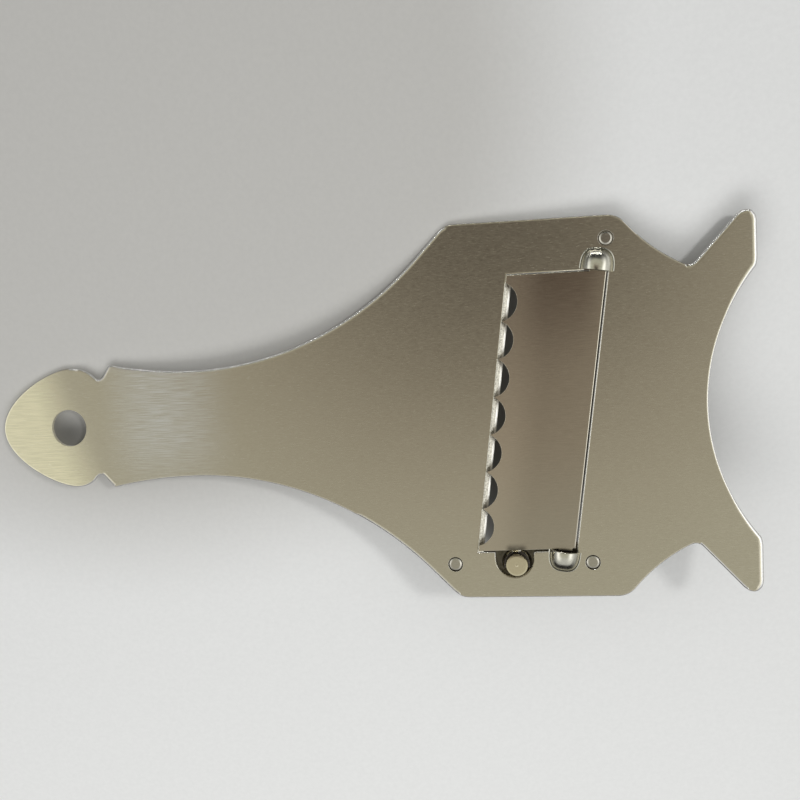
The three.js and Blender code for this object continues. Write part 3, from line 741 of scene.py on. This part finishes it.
def bladeMaterial():
    # painted reflections: browner towards its back and its far end and paler at its near end, and painted shade
    # where the fork begins
    square = (cos(skew), -sin(skew))
    back = backAt(0) * square[0]
    place = lambda share: (back - plate["windowWidth"] * across * (1 - share)) * mm
    besideScrew = lambda offset: (screwX + offset) * mm
    fromEnd = lambda offset: (windowFoot + blade["gapBottom"] + offset) * mm
    wide = {"edges": ((square, place(0.12), place(0.55)),),
            "scratches": (300, 4000), "cover": (0.40, 0.52), "tone": (0.23, 0.197, 0.155)}
    far = {"edges": ((square, place(0.05), place(0.45)), (square, place(1.05), place(0.75)), ((0, 1), 0.006, 0.034)),
           "scratches": (300, 4000), "cover": (0.5, 0.62), "tone": (0.147, 0.106, 0.08)}
    near = {"edges": (((0, 1), -0.004, -0.030),),
            "scratches": (300, 4000), "cover": (0.20, 0.30), "tone": (0.40, 0.39, 0.33)}
    neck = {"edges": (((1, 0), besideScrew(-2.9), besideScrew(-1.5)), ((1, 0), besideScrew(2.9), besideScrew(1.5)),
                      ((0, 1), fromEnd(1.8), fromEnd(0.1))),
            "scratches": (900, 900), "cover": (0.62, 0.85), "tone": (0.06, 0.055, 0.045)}
    return steelMaterial("groundBlade", plateLook, dark=(0.431, 0.379, 0.305), light=(0.50, 0.444, 0.362), bump=0.04,
                         roughness=(0.17, 0.24), edgeTone=(0.74, 0.70, 0.58), worn=(wide, far, near, neck))


def buildBlade(steps=5):
    b = blade
    half, brk = b["thickness"] / 2, b["edgeBreak"]
    rings = [bladeRing(b["grind"], brk, -half), bladeRing(b["grind"] - brk, 0, -half + brk),
             bladeRing(0, 0, half - b["land"])]
    for share in spaced(0, 1, steps):
        up, over = sin(share * pi / 2), 1 - cos(share * pi / 2)
        rings.append(bladeRing(brk * 0.5 * share, brk * over, half - brk * (1 - up), b["backRound"] * over))
    arms, neck = forkMesh()
    mesh = joinMeshes("scalloped_blade", [cleanMesh(loftMesh("bladeBlank", rings), b["weld"]), neck])
    # painted highlight on the blade's rounded edges
    markHighlights(planarUv(mesh), lambda poly: -0.2 < poly.normal.z < 0.97)
    tilt = Matrix.Translation(pivotPoint) @ Matrix.Rotation(b["restTilt"], 4, pivotAxis)
    for part in (mesh, arms):
        part.transform(tilt @ Matrix.Translation((-pivotPoint.x, 0, 0)))
    obj = piece("fork_arms", arms, forkSteel, 28, b["level"])
    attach(obj, "blade")
    obj = piece("scalloped_blade", mesh, bladeMaterial(), 28, b["level"])
    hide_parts("blade")
    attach(obj, "blade")


buildBlade()
print("blade made")


# geometry node helpers
def shapeTree(name, lengths=(), **others):
    inputs = {"Geometry": "Geometry", "Material": "Material", **dict.fromkeys(lengths, "Float"), **others}
    return nodeGroup(name, "Geometry", inputs, {"Geometry": "Geometry"})


def finishTree(tree, geometry, given, result):
    real = addNode(tree, "RealizeInstances", "Geometry", {"Geometry": geometry})
    painted = addNode(tree, "SetMaterial", "Geometry", {"Geometry": real, "Material": given["Material"]})
    tree.links.new(painted, result["Geometry"])
    return tree


def bakeTree(name, tree, values, base=None):
    obj = makeObject(name, base or bpy.data.meshes.new(name))
    modifier = obj.modifiers.new("shape", "NODES")
    modifier.node_group = tree
    for item in tree.interface.items_tree:
        if item.in_out == "INPUT" and item.name in values:
            modifier[item.identifier] = values[item.name]
    return meshOf(obj)


def lifted(mesh, height):
    # onto the screw's axis, at a height in metres
    mesh.transform(Matrix.Translation(screwAxis + Vector((0, 0, height))))
    return mesh


# rivets, one head and shank instanced at each place
rivet = {"diameter": 3.0, "headDiameter": 4.8, "headHeight": 0.8, "crown": 0.2, "shoulder": 0.32}


def rivetMesh():
    r, h = rivet["diameter"] / 2, rivet["headDiameter"] / 2
    top, foot, low = plateTop / mm, stripFoot / mm, stripFoot / mm - rivet["headHeight"]
    s, c = rivet["shoulder"], rivet["crown"]
    profile = [(0, low), (h * 0.45, low + 0.05), (h * 0.8, low + 0.28), (h, foot - 0.22), (h, foot), (r, foot),
               (r, top - c - 0.12), (r - 0.03, top - c), (r - s, top - 0.03), (r - s - 0.08, top), (0, top)]
    return revolve("rivetShape", profile, Vector((0, 0, 0)), 48)


def rivetTree():
    tree, given, result = shapeTree("rivetRow", Rivet="Object")
    shape = addNode(tree, "ObjectInfo", "Geometry", {"Object": given["Rivet"]})
    spread = addNode(tree, "InstanceOnPoints", "Instances", {"Points": given["Geometry"], "Instance": shape})
    return finishTree(tree, spread, given, result)


def buildRivets():
    shape = makeObject("rivetShape", rivetMesh())
    points = bpy.data.meshes.new("rivetPoints")
    points.from_pydata([(*middleOf(name), 0) for name in rivetNames], [], [])
    mesh = bakeTree("flush_rivets", rivetTree(), {"Rivet": shape, "Material": rivetSteel}, points)
    bpy.data.objects.remove(shape, do_unlink=True)
    obj = piece("flush_rivets", planarUv(mesh), None, 40)
    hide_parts(*rivetNames)
    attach(obj, "frame")


buildRivets()
print("rivets made")

# strips under the plate
strip = {"width": 9.2, "endRound": 3.0, "edgeRound": 0.25, "bore": 3.2, "collar": 4.7, "funnel": 0.35, "flat": 0.02}


def roundedOutline(x0, x1, y0, y1):
    r, quarter = strip["endRound"], pi / 2
    corners = ((x1 - r, y0 + r), (x1 - r, y1 - r), (x0 + r, y1 - r), (x0 + r, y0 + r))
    pts = []
    for k, (cx, cy) in enumerate(corners):
        pts += arc(cx, cy, r, (k - 1) * quarter, k * quarter, 12)
    return pts


def stripMesh(name, outlines):
    return sheetMesh(name, outlines, stripFoot, plateFoot, strip["edgeRound"] * mm)


def buildStrips():
    low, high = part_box("screw_bracket")
    yMid, half = middleOf("rivet_1")[1] / mm, strip["width"] / 2
    r, o, f = strip["bore"], strip["collar"], strip["funnel"]
    outline = roundedOutline(low[0] / mm, high[0] / mm, yMid - half, yMid + half)
    flat = stripMesh("bracketFlat", [outline, circle(screwX, screwY, o - 0.5, 64)])
    top, middle, foot = plateFoot / mm, stripFoot / mm, low[2] / mm
    rest = top - strip["flat"]
    profile = [(o - 0.3, rest), (r + f, rest), (r + f * 0.3, top - f * 0.3), (r, top - f), (r, foot + 0.2),
               (r + 0.2, foot), (o - 0.3, foot), (o, foot + 0.3), (o, middle - 0.4), (o + 0.4, middle + 0.05),
               (o - 0.3, rest)]
    collar = revolve("collar", profile, screwAxis, 72, capped=False)
    obj = piece("screw_strip", joinMeshes("screw_strip", [flat, collar]), bracketSteel, 40)
    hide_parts("screw_bracket")
    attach(obj, "frame")
    low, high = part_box("pivot_clip")
    outline = roundedOutline(low[0] / mm, high[0] / mm, low[1] / mm, high[1] / mm)
    clip = piece("tab_clip", stripMesh("tab_clip", [outline]), backSteel, 40)
    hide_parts("pivot_clip")
    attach(clip, "frame")


buildStrips()
print("strips made")

# screw: turned core with its neck, disc and pip, and a rolled thread wound round the shank
screw = {"diameter": 6.0, "root": 5.0, "pitch": 1.0, "neckDiameter": 3.2, "neckHeight": 2.2, "discDiameter": 5.1,
         "discThickness": 1.2, "chamfer": 0.34, "pip": 0.28, "threadStart": 0.4, "threadEnd": 0.7, "crestFull": 1.15}


def threadTree():
    tree, given, result = shapeTree("rolledThread", ("Turns", "Radius", "Length", "Crest"))
    coil = addNode(tree, "CurveSpiral", "Curve", {
        "Resolution": 40, "Rotations": given["Turns"], "Start Radius": given["Radius"],
        "End Radius": given["Radius"], "Height": given["Length"]})
    profile = addNode(tree, "CurvePrimitiveCircle", "Curve", {"Resolution": 8, "Radius": given["Crest"]})
    sweep = addNode(tree, "CurveToMesh", "Mesh", {"Curve": coil, "Profile Curve": profile, "Fill Caps": True})
    return finishTree(tree, sweep, given, result)


wireTree = threadTree()


def buildScrew():
    s = screw
    low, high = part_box("adjusting_screw")
    foot, top = low[2] / mm, high[2] / mm
    root, neck, disc = s["root"] / 2, s["neckDiameter"] / 2, s["discDiameter"] / 2
    discFoot = top - s["discThickness"]
    neckFoot = discFoot - s["neckHeight"]
    c, p = s["chamfer"], s["pip"]
    profile = [(0, foot), (root, foot), (root, neckFoot - 0.5), (root - 0.35, neckFoot), (neck + 0.15, neckFoot),
               (neck, neckFoot + 0.15), (neck, discFoot - 0.12), (neck + 0.12, discFoot), (disc - 0.1, discFoot),
               (disc, discFoot + 0.1), (disc, top - c), (disc - c * 0.35, top - c * 0.3), (disc - c, top - 0.06),
               (disc - c - 0.15, top - 0.05), (p, top - 0.05), (p * 0.7, top - 0.015), (0, top)]
    core = revolve("screwCore", profile, screwAxis, 96)
    length = neckFoot - s["threadEnd"] - foot - s["threadStart"]
    crest = (s["diameter"] - s["root"]) / 4
    thread = bakeTree("threadSeed", wireTree, {
        "Turns": length / s["pitch"], "Radius": (s["diameter"] / 2 - crest) * mm, "Length": length * mm,
        "Crest": crest * s["crestFull"] * mm, "Material": nickelSteel})
    thread = cleanMesh(lifted(thread, (foot + s["threadStart"]) * mm))
    obj = piece("adjuster_screw", joinMeshes("adjuster_screw", [core, thread]), nickelSteel, 50)
    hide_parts("adjusting_screw")
    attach(obj, "screw")


buildScrew()
print("screw made")

# knob: turned body with a knurled grip and two smooth beads
knob = {"teeth": 60, "depth": 0.35, "beadGap": 0.9, "beadSink": 0.1, "chamfer": 0.7, "floor": 1.6, "boreClear": 0.15,
        "toothFull": 0.82, "toothShort": 0.3}


def knurlTree():
    # one tooth instanced round the rim
    tree, given, result = shapeTree("knurlRing", ("Radius", "Width", "Height"), Teeth="Int")
    size = {"Resolution": given["Teeth"], "Radius": given["Radius"]}
    ring = addNode(tree, "CurvePrimitiveCircle", "Curve", size)
    points = addNode(tree, "CurveToPoints", "Points", {"Curve": ring}, mode="EVALUATED")
    size = {"Vertices": 8, "Radius": given["Width"], "Depth": given["Height"]}
    tooth = addNode(tree, "MeshCylinder", "Mesh", size)
    spread = addNode(tree, "InstanceOnPoints", "Instances", {"Points": points, "Instance": tooth})
    return finishTree(tree, spread, given, result)


def buildKnob():
    k = knob
    low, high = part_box("knurled_knob")
    foot, top, outer = low[2] / mm, high[2] / mm, (high[0] - low[0]) / 2 / mm
    core, bead = outer - k["depth"], outer - k["beadSink"]
    c, g, bore = k["chamfer"], k["beadGap"], screw["diameter"] / 2 + k["boreClear"]
    profile = [(0, foot + 0.25), (outer * 0.35, foot + 0.25), (outer * 0.42, foot + 0.08), (outer * 0.5, foot),
               (outer - c, foot), (outer - c * 0.3, foot + c * 0.3), (bead, foot + c), (bead, foot + g),
               (core - 0.15, foot + g + 0.25), (core - 0.15, top - g - 0.25), (bead, top - g),
               (bead, top - c), (outer - c * 0.3, top - c * 0.3), (outer - c, top), (bore + 0.4, top),
               (bore, top - 0.4), (bore, foot + k["floor"]), (0, foot + k["floor"])]
    body = revolve("knobBody", profile, screwAxis, 120)
    width = pi * core / k["teeth"] * k["toothFull"]
    teeth = bakeTree("knurlSeed", knurlTree(), {
        "Teeth": k["teeth"], "Radius": (outer - width) * mm, "Width": width * mm,
        "Height": (top - foot - 2 * g - k["toothShort"]) * mm, "Material": nickelSteel})
    teeth = lifted(teeth, (foot + top) / 2 * mm)
    obj = piece("knurled_grip", joinMeshes("knurled_grip", [body, teeth]), nickelSteel, 35)
    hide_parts("knurled_knob")
    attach(obj, "screw")


buildKnob()
print("knob made")

# washer and wound spring between the knob and the bracket's collar
coil = {"wire": 0.7, "meanDiameter": 8.4, "turns": 4.5, "washerClear": 0.4, "washerEdge": 0.14}


def buildSpring():
    low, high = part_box("spring_washer")
    foot, top, e = low[2] / mm, high[2] / mm, coil["washerEdge"]
    outer, inner = (high[0] - low[0]) / 2 / mm, screw["diameter"] / 2 + coil["washerClear"]
    profile = [(inner, foot + e), (inner + e, foot), (outer - e, foot), (outer, foot + e), (outer, top - e),
               (outer - e, top), (inner + e, top), (inner, top - e), (inner, foot + e)]
    mesh = revolve("thrust_washer", profile, screwAxis, 72, capped=False)
    washer = piece("thrust_washer", mesh, backSteel, 40)
    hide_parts("spring_washer")
    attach(washer, "screw_carriage")
    low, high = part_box("tension_spring")
    w = coil["wire"] / 2 * mm
    wire = bakeTree("springSeed", wireTree, {
        "Turns": coil["turns"], "Radius": coil["meanDiameter"] / 2 * mm, "Length": high[2] - low[2] - 2 * w,
        "Crest": w, "Material": springSteel})
    obj = piece("wound_spring", cleanMesh(lifted(wire, low[2] + w)), None, 60)
    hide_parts("tension_spring")
    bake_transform(obj)


buildSpring()
print("spring made")

# pale table, tilted to the three points that the slicer really rests on
table = {
    "rest": ((33.07, -30.10, 0.0), (21.47, 43.42, 18.0), (-77.30, 13.43, 18.0)), "size": 1.6, "below": 0.05,
    "roughness": 0.75, "specular": 0.2, "shaded": (0.535, 0.528, 0.502, 1), "pale": (0.77, 0.775, 0.762, 1),
    "shadeCentre": (-0.062, 0.080, 0.015), "shadeReach": (0.086, 0.134), "fibreSize": 900.0, "fibre": (0.98, 1.015),
    "underScale": (1 / 0.030, 1 / 0.043, 0), "underOffset": (-0.042 / 0.030, 0.003 / 0.043, 0),
    "underTone": (0.3, 1.0), "underReach": (0.85, 1.05),
    "holeCentre": (-0.0755, -0.0020, 0.0176), "holeTone": (0.13, 1.0), "holeReach": (0.0005, 0.0085),
    "mirrored": (0.34, 0.335, 0.32, 1), "haze": (0.74, 0.745, 0.73, 1), "hazeReach": (0.28, 0.62),
}


def tableMaterial():
    t = table
    mat, tree, shader = newMaterial("paleTable")
    place = coordsOf(tree)
    # painted shade: darker towards the far left corner, paler away from it
    reach = vectors(tree, "DISTANCE", place, t["shadeCentre"])
    colour = mixed(tree, ramp(tree, reach, 0.0, 1.0, *t["shadeReach"], "SMOOTHSTEP"), t["shaded"], t["pale"])
    # painted shade where the light hardly reaches: the middle below the plate and the spot behind the hanging hole
    fibre = noise(tree, place, t["fibreSize"], 4.0)
    under = vectors(tree, "LENGTH", vectors(tree, "MULTIPLY_ADD", place, t["underScale"], t["underOffset"]))
    hole = vectors(tree, "DISTANCE", place, t["holeCentre"])
    for tone in (ramp(tree, fibre, *t["fibre"]), ramp(tree, under, *t["underTone"], *t["underReach"]),
                 ramp(tree, hole, *t["holeTone"], *t["holeReach"])):
        colour = mixed(tree, 1.0, colour, tone, "MULTIPLY")
    feed(tree, shader, {"Base Color": colour, "Roughness": t["roughness"], "Specular IOR Level": t["specular"]})
    # mirrored in the steel it glows as an even sheet, far off it fades into the backdrop, and from below it is clear
    mirrored = addNode(tree, "LightPath", "Is Glossy Ray")
    even = addNode(tree, "Emission", 0, {"Color": t["mirrored"]})
    far = ramp(tree, reach, 0.0, 1.0, *t["hazeReach"])
    haze = addNode(tree, "Emission", 0, {"Color": t["haze"]})
    below = addNode(tree, "NewGeometry", "Backfacing")
    clear = addNode(tree, "BsdfTransparent", 0)
    surface = shader.outputs["BSDF"]
    for share, other in ((mirrored, even), (far, haze), (below, clear)):
        surface = addNode(tree, "MixShader", 0, {0: share, 1: surface, 2: other})
    feed(tree, tree.nodes["Material Output"], {"Surface": surface})
    return mat


a, b, c = (Vector(p) * mm for p in table["rest"])
normal = (b - a).cross(c - a).normalized()
u = Vector((1, 0, 0))
u = (u - normal * u.dot(normal)).normalized()
v = normal.cross(u)
h = table["size"] / 2
middle = (a + b + c) / 3 - normal * table["below"] * mm
mesh = bpy.data.meshes.new("table")
corners = [middle + u * sx * h + v * sy * h for sx, sy in ((-1, -1), (1, -1), (1, 1), (-1, 1))]
mesh.from_pydata(corners, [], [(0, 1, 2, 3)])
mesh.update()
mesh.materials.append(tableMaterial())
obj = makeObject("table", mesh)
print("table made")

# camera, from the turn and place of the plate's top in front of it
view = {"turn": (5.35, -8.14, 2.96), "offset": (-9.10, -4.18, -237.23), "focal": 1000.0, "frame": 800.0,
        "sensor": 36.0, "clip": 0.005}
rx, ry, rz = (radians(a) for a in view["turn"])
turn = Matrix.Rotation(rx, 3, "X") @ Matrix.Rotation(ry, 3, "Y") @ Matrix.Rotation(rz, 3, "Z")
data = bpy.data.cameras.new("photoView")
data.sensor_width = view["sensor"]
data.sensor_fit = "HORIZONTAL"
data.lens = view["sensor"] * view["focal"] / view["frame"]
data.clip_start = view["clip"]
obj = makeObject("photoView", data)
place = turn.transposed() @ (-Vector(view["offset"]) * mm) + Vector((0, 0, plateTop))
obj.matrix_world = Matrix.Translation(place) @ turn.transposed().to_4x4()
scene.camera = obj
print("camera set")

# soft room: dark straight above, where the camera hides the light, and paler further out
room = {
    "darkSpot": (-0.052, 0.105, 0.993),
    "spread": ((0.0, (0.03, 0.024, 0.018)), (0.07, (0.092, 0.072, 0.059)), (0.12, (0.326, 0.279, 0.233)),
               (0.19, (0.615, 0.567, 0.484)), (0.27, (0.70, 0.695, 0.60)), (1.0, (0.70, 0.695, 0.60))),
    "wallBase": 0.35, "wallLeast": 0.03, "wallRight": 0.25, "wallRise": (0.38, 0.54),
    "wallEnds": (1.8, 0.35), "endsReach": (0.60, 0.74), "wallDepth": (-0.5, 0.5), "depthReach": (0.80, 0.92),
    "ceiling": (0.35, 0.7), "spill": 0.66, "backdrop": (0.74, 0.745, 0.73, 1),
}
world = bpy.data.worlds.new("softRoom")
scene.world = world
world.use_nodes = True
tree = world.node_tree
place = coordsOf(tree, "Generated")
# the angle from the dark spot, as a share of a quarter turn
angle = maths(tree, "ARCCOSINE", vectors(tree, "DOT_PRODUCT", place, Vector(room["darkSpot"]).normalized()))
share = maths(tree, "DIVIDE", angle, pi / 2)
overhead = addNode(tree, "ValToRGB", "Color", {"Fac": share})
stops = overhead.node.color_ramp.elements
while len(stops) < len(room["spread"]):
    stops.new(0.5)
for stop, (position, tone) in zip(stops, room["spread"]):
    stop.position = position
    stop.color = (*tone, 1)
# the walls: bright at both ends, the near one lit higher up and the far one lower down
facing = vectors(tree, "NORMALIZE", vectors(tree, "MULTIPLY", place, (1, 1, 0)))
side = addNode(tree, "SeparateXYZ", 0, {0: facing}).node.outputs
depth = ramp(tree, share, *room["wallDepth"], *room["depthReach"])
ends = ramp(tree, share, *room["wallEnds"], *room["endsReach"], "SMOOTHSTEP")
wall = room["wallBase"]
for a, b in ((maths(tree, "MULTIPLY", side["X"], side["X"]), ends), (side["X"], room["wallRight"]),
             (side["Y"], depth)):
    wall = maths(tree, "ADD", maths(tree, "MULTIPLY", a, b), wall)
wall = maths(tree, "MAXIMUM", wall, room["wallLeast"])
low = ramp(tree, share, 0.0, 1.0, *room["wallRise"], "SMOOTHSTEP")
mirrored = mixed(tree, low, overhead, wall)
# what the shiny parts mirror differs from the light from above that falls on the table
height = addNode(tree, "SeparateXYZ", "Z", {0: place})
above = ramp(tree, height, 0.0, room["spill"], *room["ceiling"])
path = addNode(tree, "LightPath", 0).node.outputs
light = mixed(tree, path["Is Glossy Ray"], above, mirrored)
light = mixed(tree, path["Is Camera Ray"], light, room["backdrop"])
feed(tree, tree.nodes["Background"], {"Color": light})


def addPanel(name, place, aim, size, power, mirrored):
    # a panel either lights the scene unseen or is only mirrored in the steel
    data = bpy.data.lights.new(name, "AREA")
    data.shape = "RECTANGLE"
    data.size, data.size_y = size
    data.energy = power
    obj = makeObject(name, data)
    obj.visible_glossy, obj.visible_diffuse = mirrored, not mirrored
    direction = Vector(aim) - Vector(place)
    obj.matrix_world = Matrix.Translation(Vector(place)) @ direction.to_track_quat("-Z", "Y").to_matrix().to_4x4()


addPanel("nearPanel", (-0.03, -0.42, 0.36), (-0.02, -0.05, 0), (0.6, 0.3), 1.33, False)
addPanel("rightPanel", (0.50, 0.16, 0.80), (0.03, 0, 0), (0.10, 0.10), 1.92, False)
addPanel("farStrip", (-0.15, 0.60, 0.15), (-0.02, 0, 0.018), (0.8, 0.035), 2.4, True)
print("lights set")
